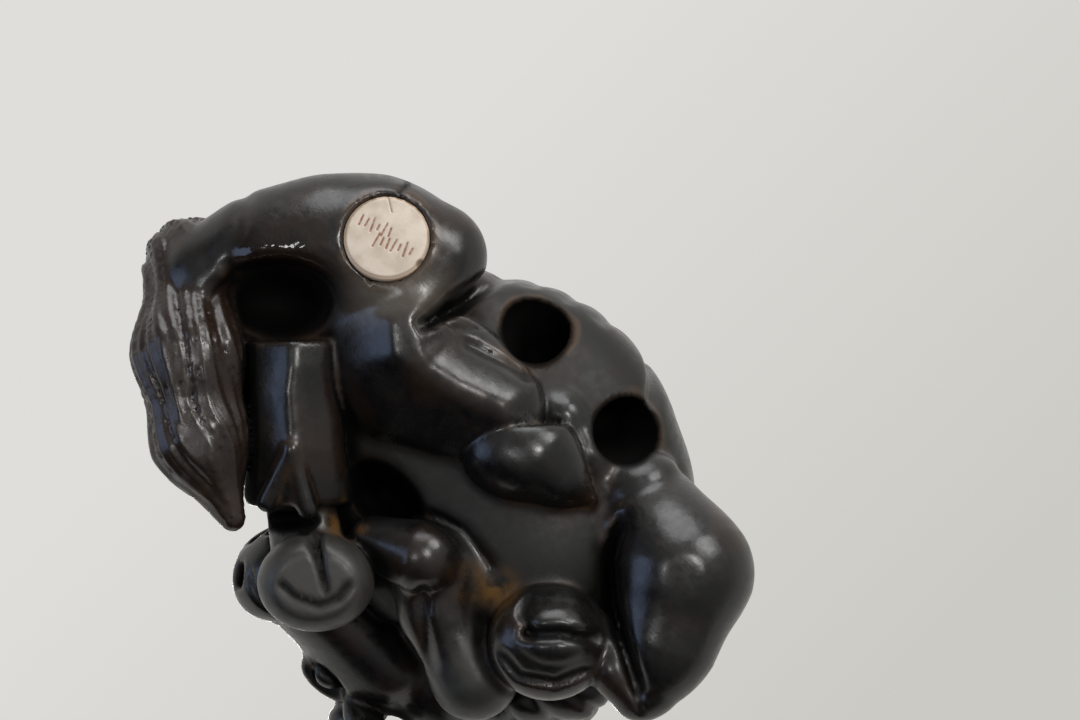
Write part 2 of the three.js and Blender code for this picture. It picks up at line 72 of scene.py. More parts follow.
FAR_HOOF = dict(centre=(13.5, 0.1, 3.4), radii=(3.9, 3.3, 3.9), power=2.8)
NEAR_HOOF = dict(centre=(5.4, -13.8, 4.5), radii=(4.1, 3.9, 3.6), power=2.5)
NEAR_SOLE = dict(centre=(4.8, -13.6, 3.9), radii=(3.2, 2.6, 3.9), power=2.4)

# Limbs: points along the middle of each and the radius at each point, with the legs' ridges, claws and cuts
SPINE = dict(
    points=((2.5, -11, 23.2), (0.8, -4, 24.6), (0.8, 5, 24.4), (1.5, 13, 23), (3, 20, 19)),
    radii=(1.3, 1.1, 1.1, 1.3, 1.5),
)
NEAR_SHOULDER = dict(points=((-4.8, -6.5, 20.2), (-6.3, -10.8, 13.5), (-5, -14.4, 7.6)), radii=(2, 2.9, 3.2))
FAR_SHOULDER = dict(points=((6.8, -6, 19.8), (9, -9.8, 13)), radii=(2, 3))
MIDLINE = 1.1  # x of the plane that the hips mirror in
NECK = dict(points=((2.5, -9.5, 16.5), (7.6, -14, 16.8), (12.6, -11.4, 17.2)), radii=(6.8, 5.6, 4.5))
DEWLAP = dict(points=((0.5, -16.4, 10.4), (6.5, -17.6, 11), (12, -13.6, 12.2)), radii=(1.8, 2, 1.3))
THIGH = dict(
    points=((4.3, 19.3, 6), (0.2, 17.8, 5.4), (-3, 15.7, 5.2), (-5.2, 13.2, 5.4), (-7.3, 10, 4.5)),
    radii=(4, 3.9, 4.1, 4.3, 3.7),
)
SHIN_RIDGE = dict(
    points=(
        (-9.2, 11, 2.6), (-8.2, 9.1, 1.4), (-6.3, 8.3, 0.9), (-4.3, 8.4, 0.3), (-2.9, 7.8, -0.2),
        (-2, 6.7, -0.2), (-1.9, 5, 0.2), (-2.4, 2.7, 0.6), (-3.1, 0.8, 0.9), (-3.5, -0.2, 1.2),
    ),
    slopes=(0.95, 1.1),
    rounds=(1.7, 1.3),
)
SHIN = dict(
    points=((-7.4, 9.3, 0), (-4, 9, 0), (-0.3, 8.7, 0), (-0.6, 6, 0), (-1.9, 3, 0), (-2.5, 0.3, 0)),
    radii=(1.9, 2, 3.1, 4.8, 4.5, 4.1),
)
SHANK_TOP = 8  # how high the shin and the far shank run into the belly
NEAR_CLAW = dict(centre=(-2.2, -3.3, 4.8), radii=(3.9, 3.2, 3.5), power=2.2)
NEAR_CLAW_TIP = dict(points=((-2.7, -4.6, 4.2), (-2.9, -6.7, 4.2), (-3.3, -8.9, 4.6)), radii=(2.6, 1.7, 0.5))
NEAR_CLAW_BASE = dict(point=(-3.4, -2, 0), outward=(-0.7, 0.71, 0))
NEAR_CLAW_INNER = dict(
    points=((-4.7, -0.9, 6.1), (-6, -3.8, 6), (-5.4, -6.8, 5.9), (-4.5, -9.4, 5.7)),
    radii=(1.1, 1.2, 1.1, 0.6),
)
FAR_SHANK = dict(points=((3.2, 12.9, 0), (7, 8.6, 0), (10.2, 5.3, 0)), radii=(3, 2.9, 3.6))
FAR_SHANK_RIDGE = dict(
    points=(
        (2.9, 12.7, 1.4), (4.3, 11.3, 1.2), (5.7, 10.2, 1.2),
        (7, 8.7, 1.3), (8.2, 7.4, 1.4), (10.8, 5, 2.2),
    ),
    slopes=(0.65, 0.75),
    rounds=(0.45, 0.7),
)
FAR_SHANK_END = dict(point=(3.4, 12.7, 0), outward=(-0.69, 0.72, 0))
FAR_SHANK_FOOT = dict(point=(10.9, 4.6, 0), outward=(0.7, -0.71, 0))
DEWCLAW_ROOT = (8.3, 7.5, 1.7)
DEWCLAW_TIPS = ((12, 6.2, 2.75), (10.4, 3.9, 2.55))
DEWCLAW_RADII = (0.45, 0.7)  # at the root and at the tips
DEWCLAW_SHADOW = dict(centre=(12.2, 4.6, 3.2), radii=(2.3, 0.75, 2.6))
FAR_PASTERN = dict(points=((10.4, 5.2, 6), (13.2, 0.8, 5)), radii=(2.2, 2.7))
TAIL = dict(
    points=(
        (3.2, 20.2, 19.5), (4.4, 22.4, 14), (4.6, 21.2, 6.8),
        (8.8, 16.9, 3.6), (12.3, 12.2, 3), (14.4, 7, 2.4),
    ),
    radii=(1.6, 1.9, 2.9, 3.5, 3, 0.9),
)
TAIL_LOCKS = 8
TAIL_TWIST = 1.9  # turn of the locks from root to tip, radians
TAIL_STRANDS = 26
TAIL_RELIEF = 0.11  # depth of the valleys between locks, as a share of the tail's girth
NEAR_FORELEG = dict(
    points=((-5.6, -11.8, 7.4), (-4.1, -16.8, 4.8), (0.4, -19.3, 4.2), (3.2, -20.6, 4)),
    radii=(3.6, 4.4, 3.2, 1.9),
)
NEAR_PASTERN = dict(points=((3.6, -20.4, 3.8), (3.5, -18.2, 3.8), (2.6, -15.8, 4.4)), radii=(1.8, 1.6, 1.7))
FAR_FETLOCK = dict(points=((9, -0.8, 5.6), (7.4, -3.7, 4.2)), radii=(1.8, 2.5))
FAR_COLLAR = dict(points=((6.9, -4.7, 6.8), (9.2, -7, 6.8)), radii=(3.4, 2.8))
FAR_FORESHANK = dict(points=((9.2, -6.8, 6.6), (10.9, -12, 7)), radii=(2.5, 2.7))
FAR_TOE = dict(points=((10.3, -10.8, 6.8), (10.9, -12, 7)), radii=(2.5, 2.7))
FAR_FOREARM = dict(points=((10.6, -12, 8.4), (6.5, -8, 14)), radii=(2.8, 4.6))

# The head, in its own frame: along the face to the muzzle, across, and up from the brow
HEAD_CENTRE = (15, -3.4, 15.2)
HEAD_FORWARD = (0.13, 0.9, -0.42)
HEAD_UP = (0.5, 0.2, 0.85)
SKULL = dict(centre=(-3.8, 0, 0.6), radii=(5, 4.3, 4))
FACE = dict(points=((-2, 0, 0.4), (5.6, 0, -0.4)), radii=(3.6, 2.7))
MUZZLE = dict(centre=(6.8, 0, -0.6), radii=(2.7, 3.4, 3), power=2.4)
JAW = dict(points=((-3.6, 1.4, -2), (5.4, 0.6, -1.9)), radii=(2.5, 1.8))
BROW = dict(centre=(-1.6, 3.3, 2.3), radii=(2.2, 1.1, 0.9))
SOCKET = dict(centre=(-0.9, 4.7, 1), radii=(1.9, 1.3, 1.3))
EYE = dict(centre=(-0.9, 3.5, 0.95), radii=(1.35, 0.95, 0.9))
NOSTRIL = dict(centre=(8.8, 1.5, -0.1), radii=(0.9, 0.8, 0.6))
HORN = dict(
    points=((-5.2, 1.8, 3), (-6, 4.2, 3.9), (-7.8, 6, 4), (-10.2, 6.6, 3.4), (-12.4, 5.8, 2.4)),
    radii=(1.9, 1.75, 1.5, 1.2, 0.8),
)
EAR = dict(centre=(-4.9, 5.7, -0.1), radii=(3.1, 1.7, 1.1))
EAR_HOLLOW = dict(centre=(-4.6, 6, 0.75), radii=(2.3, 1, 0.7))

# Lines pressed into the surface: points in one view, width and depth
UNDERSIDE_LINES = (
    (((-3, 7.3), (-6, 6.5), (-9.4, 6.1)), 0.45, 0.9),  # behind the stifle
    (((-4.6, 4.9), (-5.6, 1.8), (-6.2, -1)), 0.4, 0.4),  # along the shin's upper edge
    (((5.1, -1.8), (4.3, -4.4), (4.5, -7.1), (5, -8.4)), 0.5, 0.35),  # the knee's collar
    (((-5.2, -11.2), (-3.9, -11.5), (-1.4, -12.8), (0.6, -15), (1.6, -16.8), (3.9, -21.3)), 0.5, 0.9),
    (((-9.9, -12.5), (-6.4, -11.2), (-3, -9.9)), 0.7, 0.25),  # over the knee
    (((8.2, -4.8), (10.1, -6.6), (12.6, -10)), 0.5, 0.4),
    (((-2, 22), (0.6, 20), (3.4, 18.7)), 0.8, 0.25),  # where the tail leaves the rump
)
FINE_LINES = (  # clefts of the hooves, and drying cracks
    (((10.9, 3.1), (12.1, 1), (13.5, -1.3)), 0.36, 0.9),
    (((15, 2.2), (14.9, 0.4), (14.2, -1.1), (13, -1.7), (11.3, -1.5)), 0.36, 0.55),
    (((6.5, -11.7), (4.3, -13.7), (2.6, -16.2)), 0.4, 0.8),
    (((5.8, -12.9), (5.2, -11.1), (3.8, -10.3)), 0.35, 0.5),
    (((8, -11.4), (8.2, -13.8), (6.8, -15.8), (4.1, -17)), 0.35, 0.5),
    (((3.1, -19.5), (4.5, -21.6)), 0.2, 0.5),
    (((-10.2, 14.9), (-9.4, 14.5), (-8.6, 14.4)), 0.2, 0.15),
)
SIDE_LINES = (  # seen from the side, along the body and up
    (((-3.5, 22.5), (-4.6, 15), (-8, 7.5)), 0.8, 0.55),  # behind the shoulder
    (((7, 20), (5.5, 13), (6.5, 8)), 0.9, 0.4),  # before the haunch
    (((-1, 19.5), (-1.8, 14), (-0.8, 9)), 0.7, 0.2),
    (((1.8, 20), (1, 14), (1.8, 9)), 0.7, 0.2),
    (((4.4, 20), (3.6, 14), (4.2, 9.5)), 0.7, 0.2),
)
NECK_FOLDS = dict(pivot=(9, -6.5), first=212, last=296, count=8, reach=(5, 14.5), width=0.42, depth=0.45)
FACE_LINES = (  # in the head's frame, seen from the side
    (((9.4, -1.4), (6.5, -2.1), (4, -1.7)), 0.25, 0.4),  # the mouth
    (((-2.4, 0.9), (-0.9, 2), (0.6, 0.8)), 0.2, 0.25),  # eyelids
    (((-2.3, 0.7), (-0.9, 0), (0.5, 0.7)), 0.2, 0.25),
    (((5.4, 1.7), (5, -0.6)), 0.2, 0.18),  # wrinkles behind the nose
    (((4.5, 1.8), (4.2, -0.2)), 0.2, 0.14),
)
FORELOCK_LINES = tuple(  # in the head's frame, seen from above
    (((-6, 0.2 + 0.45 * i), (-3.4, 0.1 + 0.4 * i), (-0.6 - 0.3 * i, 0.3 * i)), 0.16, 0.28) for i in range(4)
)
HORN_RINGS = 10
HORN_RING_DEPTH = 0.07


def vec(values):
    return np.asarray(values, F)


def axes_from(forward, up):
    """Three unit directions, along, across and up, from a forward and a rough up direction."""
    along = vec(forward) / np.linalg.norm(forward)
    across = np.cross(vec(up), along)
    across = across / np.linalg.norm(across)
    return np.stack([along, across, np.cross(along, across)]).astype(F)


HEAD_AXES = axes_from(HEAD_FORWARD, HEAD_UP)
EAR_AXES = axes_from((-0.62, 0.72, -0.3), (0.2, 0.2, 1))
HOOF_AXES = axes_from((-1, -1, 0), (0, 0, 1))
PAD_AXES = axes_from((1, 0, 0), DISC_NORMAL)


def blend(a, b, reach):
    """Two forms in one, with the join rounded over a reach in mm."""
    overlap = np.maximum(reach - np.abs(a - b), 0) / F(reach)
    return np.minimum(a, b) - overlap * overlap * F(reach * 0.25)


def carve(a, tool, reach):
    """A form with a tool's form taken out of it, and the edge rounded over a reach in mm."""
    return -blend(-a, tool, reach)


def taper(p, a, b, radius_a, radius_b):
    """Distance to a limb that tapers between two points."""
    a, b = vec(a), vec(b)
    ab = b - a
    ap = p - a
    t = np.clip((ap @ ab) / (ab @ ab), 0, 1)
    gap = ap - t[:, None] * ab
    return np.sqrt(np.einsum("ij,ij->i", gap, gap)) - F(radius_a) - t * F(radius_b - radius_a)


def limb(p, form, reach=1.0):
    """Distance to a chain of tapers."""
    points, radii = form["points"], form["radii"]
    d = taper(p, points[0], points[1], radii[0], radii[1])
    for i in range(1, len(points) - 1):
        d = blend(d, taper(p, points[i], points[i + 1], radii[i], radii[i + 1]), reach)
    return d


def mass(p, form, axes=None):
    """Distance to a rounded mass, an ellipse in plan with a profile that a higher power squares."""
    q = p - vec(form["centre"])
    if axes is not None:
        q = q @ axes.T
    rx, ry, rz = (F(radius) for radius in form["radii"])
    power = F(form.get("power", 2))
    x, y, rise = q[:, 0] / rx, q[:, 1] / ry, np.abs(q[:, 2]) / rz
    plan = np.sqrt(x * x + y * y) + F(1e-6)
    level = (plan ** power + rise ** power) ** (1 / power) + F(1e-6)
    plan_pull = (plan / level) ** (power - 1) / plan
    rise_pull = (rise / level) ** (power - 1) / rz
    pull = np.sqrt((plan_pull * x / rx) ** 2 + (plan_pull * y / ry) ** 2 + rise_pull ** 2 + F(1e-9))
    return (level - 1) / pull


def beyond(p, cut):
    """Distance past a flat cut, towards its outward side."""
    return -((p - vec(cut["point"])) @ vec(cut["outward"]))


def ridged(p, form):
    """Distance past two faces that fall away from a ridge, each with its own slope and rounding."""
    points = vec(form["points"])
    best = np.full(len(p), FAR_AWAY, F)
    crest = np.zeros(len(p), F)
    side = np.zeros(len(p), F)
    for a, b in zip(points, points[1:]):
        run = (b - a)[:2]
        off = p[:, :2] - a[:2]
        t = np.clip(off @ run / (run @ run), 0, 1)
        gap = np.linalg.norm(off - t[:, None] * run, axis=1)
        nearer = gap < best
        crest = np.where(nearer, a[2] + t * (b[2] - a[2]), crest)
        side = np.where(nearer, run[0] * off[:, 1] - run[1] * off[:, 0], side)
        best = np.minimum(gap, best)
    slope = np.where(side > 0, *vec(form["slopes"]))
    rounding = np.where(side > 0, *vec(form["rounds"]))
    fall = np.sqrt(best * best + rounding * rounding) - rounding
    return (crest + slope * fall - p[:, 2]) / np.sqrt(1 + slope * slope)


def smooth(x, low, high):
    """0 up to low, 1 from high on, and an eased rise between them."""
    t = np.clip((x - low) / (high - low), 0, 1)
    return t * t * (3 - 2 * t)


def line_distance(q, line):
    """Distance to a line of straight runs, and the place along it from 0 to 1."""
    line = vec(line)
    lengths = np.linalg.norm(np.diff(line, axis=0), axis=1)
    best = np.full(len(q), FAR_AWAY, F)
    along = np.zeros(len(q), F)
    done = 0.0
    for a, b, length in zip(line, line[1:], lengths):
        t = np.clip((q - a) @ (b - a) / F(length * length), 0, 1)
        gap = np.linalg.norm(q - a - t[:, None] * (b - a), axis=1)
        along = np.where(gap < best, (done + t * length) / lengths.sum(), along)
        best = np.minimum(gap, best)
        done += length
    return best, along


def neck_lines():
    """Folds that spread from a pivot beside the turned neck, like the ribs of a fan."""
    fold = NECK_FOLDS
    x, y = fold["pivot"]
    lines = []
    for i in range(fold["count"]):
        angle = math.radians(fold["first"] + (fold["last"] - fold["first"]) * i / (fold["count"] - 1))
        ends = [(x + r * math.cos(angle), y + r * math.sin(angle)) for r in fold["reach"]]
        unevenness = 0.75 + 0.25 * math.sin(2.3 * i)
        lines.append((ends, fold["width"], fold["depth"] * unevenness))
    return lines


def press(d, p, lines, axes, weight):
    """Presses lines into the surface, drawn in the view of two axes, where the weight isn't zero."""
    d = d.copy()
    q = p[:, axes]
    end_fade = 0.15
    for line, width, depth in lines:
        margin = 3 * width
        low = np.min(line, 0) - margin
        high = np.max(line, 0) + margin
        near = np.nonzero(np.all((q > low) & (q < high), 1) & (weight > 0))[0]
        gap, along = line_distance(q[near], line)
        fade = smooth(np.minimum(along, 1 - along), 0, end_fade)
        d[near] += F(depth) * weight[near] * fade * np.exp(-(gap / F(width)) ** 2)
    return d


def barrel(p):
    """The trunk with its spine, hips, far shoulder and haunches, and the pocket between the legs."""
    sided = p.copy()
    sided[:, 0] = np.abs(sided[:, 0] - F(MIDLINE))
    d = blend(mass(p, TRUNK), mass(p, BACK), 3)
    d = blend(d, mass(p, CHEST), 4)
    d = blend(d, mass(p, RUMP), 4)
    d = blend(d, limb(p, SPINE, 2), 2.6)
    d = blend(d, mass(sided, HIP), 2.4)
    d = blend(d, limb(p, FAR_SHOULDER), 2.2)
    d = blend(d, mass(p, NEAR_HAUNCH), 3)
    d = blend(d, mass(p, FAR_THIGH), 2)
    return carve(d, mass(p, NEAR_POCKET), 1)


def tail_samples(count=96):
    """Places, girths and cross directions along the tail's middle line."""
    points = vec(TAIL["points"])
    runs = len(points) - 1
    ends = np.vstack([2 * points[0] - points[1], points, 2 * points[-1] - points[-2]])
    t = np.linspace(0, 1, count)
    run = np.minimum((t * runs).astype(int), runs - 1)
    f = (t * runs - run)[:, None]
    a, b, c, d = (ends[run + i] for i in range(4))
    second = 2 * a - 5 * b + 4 * c - d
    third = 3 * b - a - 3 * c + d
    places = 0.5 * (2 * b + (c - a) * f + second * f ** 2 + third * f ** 3)
    girths = np.interp(t * runs, np.arange(runs + 1), TAIL["radii"])
    tangents = np.gradient(places, axis=0)
    tangents /= np.linalg.norm(tangents, axis=1)[:, None]
    across = np.cross(tangents, (0, 0, 1))
    across /= np.linalg.norm(across, axis=1)[:, None]
    over = np.cross(across, tangents)
    return [values.astype(F) for values in (t, places, girths, across, over)]


TAIL_LINE = tail_samples()


def tail(p):
    """The tail's locks turn around its middle line, and finer strands part each of them."""
    d = limb(p, TAIL, 1.5)
    near = np.nonzero(d < 2.5)[0]
    t, places, girths, across, over = TAIL_LINE
    q = p[near]
    at = np.argmin(((q[:, None, :] - places[None]) ** 2).sum(2), axis=1)
    off = q - places[at]
    angle = np.arctan2((off * over[at]).sum(1), (off * across[at]).sum(1))
    turn = (angle - TAIL_TWIST * t[at]) / (2 * np.pi)
    # the locks waver, so that they don't run evenly
    waver = 0.16 * np.sin(17 * t[at] + 3 * angle) + 0.1 * np.sin(31 * t[at] - 2 * angle + 1)
    locks = 1 - np.abs(np.cos(np.pi * TAIL_LOCKS * turn + waver))
    strands = 1 - np.abs(np.cos(np.pi * TAIL_STRANDS * turn + 4 * waver + 0.8 * np.sin(5 * angle)))
    relief = TAIL_RELIEF * girths[at] * (locks + 0.75 * strands ** 1.5 - 0.3)
    d[near] += relief.astype(F)
    return d


def near_hind_leg(p):
    """The shin with its ridge, and two claws."""
    plan = p * vec((1, 1, 0))
    shin = carve(limb(plan, SHIN, 1), -ridged(p, SHIN_RIDGE), 0.8)
    shin = np.maximum(shin, p[:, 2] - SHANK_TOP)
    claw = blend(mass(p, NEAR_CLAW, HOOF_AXES), limb(p, NEAR_CLAW_TIP), 1.6)
    claw = carve(claw, beyond(p, NEAR_CLAW_BASE), 0.3)
    return blend(blend(shin, claw, 0.1), limb(p, NEAR_CLAW_INNER, 1.6), 0.15)


def far_hind_leg(p):
    """The shank with its ridge, two dewclaws and the hoof."""
    plan = p * vec((1, 1, 0))
    d = carve(limb(plan, FAR_SHANK), -ridged(p, FAR_SHANK_RIDGE), 1)
    d = np.maximum(d, p[:, 2] - SHANK_TOP)
    d = carve(d, beyond(p, FAR_SHANK_END), 0.2)
    d = carve(d, beyond(p, FAR_SHANK_FOOT), 0.6)
    d = blend(d, limb(p, FAR_PASTERN), 0.5)
    d = carve(d, mass(p, DEWCLAW_SHADOW, HOOF_AXES), 0.3)
    for tip in DEWCLAW_TIPS:
        d = blend(d, taper(p, DEWCLAW_ROOT, tip, *DEWCLAW_RADII), 0.5)
    return blend(d, mass(p, FAR_HOOF, HOOF_AXES), 0.3)


def near_foreleg(p):
    """The bent leg, its pastern and the hoof."""
    leg = blend(limb(p, NEAR_FORELEG, 2.2), limb(p, NEAR_PASTERN), 0.4)
    hoof = blend(mass(p, NEAR_HOOF, HOOF_AXES), mass(p, NEAR_SOLE, HOOF_AXES), 0.3)
    return blend(leg, hoof, 0.25)


def far_foreleg(p):
    """The forearm, shank, collar and fetlock."""
    d = blend(limb(p, FAR_COLLAR), limb(p, FAR_FETLOCK), 0.5)
    d = blend(d, limb(p, FAR_FORESHANK), 0.5)
    return blend(d, limb(p, FAR_FOREARM), 1.5)


def head(p):
    """Skull, face, eyes, nostrils, horns and ears, alike on both sides."""
    q = (p - vec(HEAD_CENTRE)) @ HEAD_AXES.T
    q[:, 1] = np.abs(q[:, 1])
    d = blend(mass(q, SKULL), limb(q, FACE), 2)
    d = blend(d, limb(q, JAW), 1.6)
    d = blend(d, mass(q, MUZZLE), 1.2)
    d = blend(d, mass(q, BROW), 0.9)
    d = carve(d, mass(q, SOCKET), 0.6)
    d = blend(d, mass(q, EYE), 0.2)
    d = carve(d, mass(q, NOSTRIL), 0.5)
    d = press(d, q, FACE_LINES, (0, 2), smooth(q[:, 1], 0.8, 1.6))
    d = press(d, q, FORELOCK_LINES, (0, 1), smooth(q[:, 2], 1.6, 2.4))
    _, along = line_distance(q, HORN["points"])
    rings = HORN_RING_DEPTH * np.cos(2 * np.pi * HORN_RINGS * along) * smooth(-along, -0.75, -0.4)
    d = blend(d, limb(q, HORN, 0.8) + rings, 0.5)
    ear = carve(mass(q, EAR, EAR_AXES), mass(q, EAR_HOLLOW, EAR_AXES), 0.3)
    return blend(d, ear, 0.4)


def cord_tunnel(p):
    """Straight holes up from the belly, joined inside it."""
    (x1, y1), (x2, y2) = CORD_HOLES
    shoulder = CORD_TUNNEL_TOP - CORD_HOLE_RADIUS
    inset, below = 1, -4
    middle = (y1 + y2) / 2
    points = (
        (x1, y1, below), (x1, y1, shoulder - 1), (x1 + inset, middle + 2, CORD_TUNNEL_TOP),
        (x1 + inset, middle - 2, CORD_TUNNEL_TOP), (x2, y2, shoulder - 1), (x2, y2, below),
    )
    return limb(p, dict(points=points, radii=[CORD_HOLE_RADIUS] * len(points)), 0.4)


def disc_seat(p):
    """The round hole that the disc lies in."""
    normal = vec(DISC_NORMAL) / np.linalg.norm(DISC_NORMAL)
    q = p - vec(DISC_CENTRE)
    height = q @ normal
    radius = np.linalg.norm(q - height[:, None] * normal, axis=1)
    return np.maximum(radius - F(DISC_RADIUS + SEAT_GAP), -height - F(DISC_THICKNESS + SEAT_GAP))


def carved_form(p):
    """The whole figure, from the barrel outwards, then the lines, tunnel, seat and ground cut into it."""
    d = press(barrel(p), p, SIDE_LINES, (1, 2), smooth(np.abs(p[:, 0] - F(MIDLINE)), 4, 6))
    neck = blend(limb(p, NECK, 3), limb(p, DEWLAP, 1.5), 2)
    d = blend(d, neck, 1.6)
    d = press(d, p, neck_lines(), (0, 1), smooth(-neck, -1, -0.2) * smooth(p[:, 2], 8, 10))
    d = blend(d, blend(limb(p, THIGH, 2), mass(p, HAUNCH_PAD, PAD_AXES), 1), 1.2)
    d = carve(d, mass(p, FAR_POCKET, HOOF_AXES), 0.9)
    d = blend(d, limb(p, NEAR_SHOULDER, 2), 2)
    d = blend(d, tail(p), 0.3)
    d = blend(d, far_foreleg(p), 0.5)
    d = blend(d, near_foreleg(p), 0.9)
    d = blend(d, far_hind_leg(p), 0.3)
    d = blend(d, near_hind_leg(p), 0.6)
    d = blend(d, head(p), 0.8)
    d = press(d, p, UNDERSIDE_LINES, (0, 1), smooth(-p[:, 2], -11, -9))
    d = press(d, p, FINE_LINES, (0, 1), smooth(-p[:, 2], -3, -2))
    d = carve(d, cord_tunnel(p), 0.2)
    d = carve(d, disc_seat(p), 0.1)
    return carve(d, p[:, 2], 0.2)


def settle(field, verts):
    """Moves points on to the form along its slope."""
    probe, most = F(0.03), 0.25
    d = field(verts)
    slope = np.stack([field(verts + probe * row) - d for row in np.eye(3, dtype=F)], 1) / probe
    steepness = np.maximum((slope * slope).sum(1), 0.25)
    return verts - np.clip(d / steepness, -most, most)[:, None] * slope


def grid_values(field, cell):
    """The field on a fine grid, worked out only near the surface; elsewhere just its sign."""
    low, high = vec(BLOCK_LOW), vec(BLOCK_HIGH)
    ratio = 4
    block = cell * ratio
    count = np.ceil((high - low) / block).astype(int)
    lines = [low[i] + block * (np.arange(count[i]) + F(0.5)) for i in range(3)]
    centres = np.stack(np.meshgrid(*lines, indexing="ij"), -1).reshape(-1, 3).astype(F)
    rough = field(centres)
    reach = block * 1.4  # past the corners of a block, with some to spare
    near = np.nonzero(np.abs(rough) < reach)[0]
    values = np.sign(rough).reshape(count)
    for axis in range(3):
        values = np.repeat(values, ratio, axis)
    inner = np.stack(np.meshgrid(*[np.arange(ratio)] * 3, indexing="ij"), -1).reshape(-1, 3)
    blocks = np.stack(np.unravel_index(near, count), 1) * ratio
    places = (blocks[:, None, :] + inner[None]).reshape(-1, 3)
    points = low + F(cell) * (places + F(0.5)).astype(F)
    batch = 150000
    fine = [field(points[i:i + batch]) for i in range(0, len(points), batch)]
    values[tuple(places.T)] = np.concatenate(fine)
    return values


def crossed_cells(values):
    """The cells that the surface crosses, and the mean place of its crossings in each."""
    corners = [(a, b, c) for a in (0, 1) for b in (0, 1) for c in (0, 1)]
    size = np.array(values.shape) - 1
    inside = values < 0
    count = sum(inside[a:a + size[0], b:b + size[1], c:c + size[2]].astype(np.uint8) for a, b, c in corners)
    cells = np.stack(np.nonzero((count > 0) & (count < 8)), 1)
    at = np.stack([values[tuple((cells + corner).T)] for corner in corners], 1)
    total = np.zeros((len(cells), 3), F)
    hits = np.zeros(len(cells), F)
    for i, first in enumerate(corners):
        for j, second in enumerate(corners):
            if j <= i or np.abs(np.subtract(first, second)).sum() != 1:
                continue
            crosses = (at[:, i] < 0) != (at[:, j] < 0)
            t = np.where(crosses, at[:, i] / np.where(crosses, at[:, i] - at[:, j], 1), 0)
            place = vec(first) + t[:, None] * (vec(second) - vec(first))
            total += np.where(crosses[:, None], place, 0)
            hits += crosses
    return cells, total / hits[:, None]


def grid_quads(values, cells):
    """A face for each grid edge that the surface crosses, between the four cells around it."""
    inside = values < 0
    index = -np.ones(np.array(values.shape) - 1, np.int64)
    index[tuple(cells.T)] = np.arange(len(cells))
    unit = np.eye(3, dtype=int)
    quads = []
    for axis in range(3):
        near = inside[tuple(slice(0, -1) if i == axis else slice(1, -1) for i in range(3))]
        far = inside[tuple(slice(1, None) if i == axis else slice(1, -1) for i in range(3))]
        edges = np.stack(np.nonzero(near != far), 1) + (1 - unit[axis])
        u, v = unit[(axis + 1) % 3], unit[(axis + 2) % 3]
        ring = [edges - u - v, edges - v, edges, edges - u]
        quad = np.stack([index[tuple(corner.T)] for corner in ring], 1)
        outward = inside[tuple(edges.T)]
        quads.append(np.where(outward[:, None], quad, quad[:, ::-1]))
    return np.concatenate(quads)


def relax(verts, quads):
    """Moves each point half-way to the middle of its neighbours."""
    around = np.zeros_like(verts)
    links = np.zeros(len(verts), F)
    for i in range(4):
        for j in ((i + 1) % 4, (i + 3) % 4):
            np.add.at(around, quads[:, i], verts[quads[:, j]])
            np.add.at(links, quads[:, i], 1)
    return verts + F(0.5) * (around / links[:, None] - verts)


def sculpt(field, cell):
    """A closed mesh of a distance form."""
    values = grid_values(field, cell)
    cells, offsets = crossed_cells(values)
    verts = vec(BLOCK_LOW) + F(cell) * (cells + F(0.5) + offsets).astype(F)
    quads = grid_quads(values, cells)
    for _ in range(2):
        verts = settle(field, relax(verts, quads))
    return verts, quads


def vertex_normals(verts, quads):
    across = np.cross(verts[quads[:, 2]] - verts[quads[:, 0]], verts[quads[:, 3]] - verts[quads[:, 1]])
    normals = np.zeros_like(verts)
    for i in range(4):
        np.add.at(normals, quads[:, i], across)
    return normals / (np.linalg.norm(normals, axis=1)[:, None] + F(1e-9))


def drawn(verts, lines):
    """A mask of fine lines, 1 along the middle of each."""
    mask = np.zeros(len(verts), F)
    end_fade = 0.12
    narrowing = 0.8
    for line, width, _ in lines:
        gap, along = line_distance(verts[:, :2], line)
        fade = smooth(np.minimum(along, 1 - along), 0, end_fade)
        mask = np.maximum(mask, fade * np.exp(-(gap / F(narrowing * width)) ** 2))
    return mask


def spots(verts, places, size):
    """A soft spot around each place, 1 in its middle."""
    total = sum(np.exp(-((verts - vec(place)) ** 2).sum(1) / F(size) ** 2) for place in places)
    return np.clip(total, 0, 1)


def add_mesh(name, verts, faces, masks):
    """A smooth piece, set down in metres, with each mask as a value on its points."""
    mesh = bpy.data.meshes.new(name)
    mesh.from_pydata(((verts + vec(SET_DOWN)) * F(MM)).tolist(), [], faces)
    for mask, values in masks.items():
        mesh.attributes.new(mask, "FLOAT", "POINT").data.foreach_set("value", values.astype(F))
    mesh.polygons.foreach_set("use_smooth", [True] * len(mesh.polygons))
    mesh.update()
    piece = bpy.data.objects.new(name, mesh)
    bpy.context.scene.collection.objects.link(piece)
    return piece


# Places of colour, and how the masks are measured, in mm
AMBER_SPOTS = ((5.8, -7.9, 3.4), (9.2, 1.6, 4), (13.6, 13.4, 3), (14.5, 9, 3), (5.6, -9.4, 4.4))
LACQUER_SPOTS = ((-0.2, 17.6, 1.6), (-1.4, 16.9, 1.5), (-2.4, 16.1, 1.5), (1, 18, 1.8), (0.6, 16.9, 2))
# painted highlight: lighter patches on the shin's ridge band below the disc
PAINTED_HIGHLIGHT_SPOTS = ((-2.4, 11.2, 2.2), (-3.4, 10, 1.6), (-5.2, 9.2, 1.5))
AMBER_SIZE = 1.3
LACQUER_SIZE = 1.3
PAINTED_HIGHLIGHT_SIZE = 1.8
HOLLOW_REACHES = (0.5, 1.2, 2.6)  # how far out a hollow's other side is felt for, to paint shade into the hollows
WORN_DEPTH = 0.6  # how far in an edge's other side is felt for, for the wear and the painted highlight on edges
MASK_EDGE = 0.5  # over how much a mask fades around its form
SHADE_HEIGHTS = (2.5, 5)  # between these the pockets turn dark
FAR_SHADE_HEIGHTS = (3, 6)
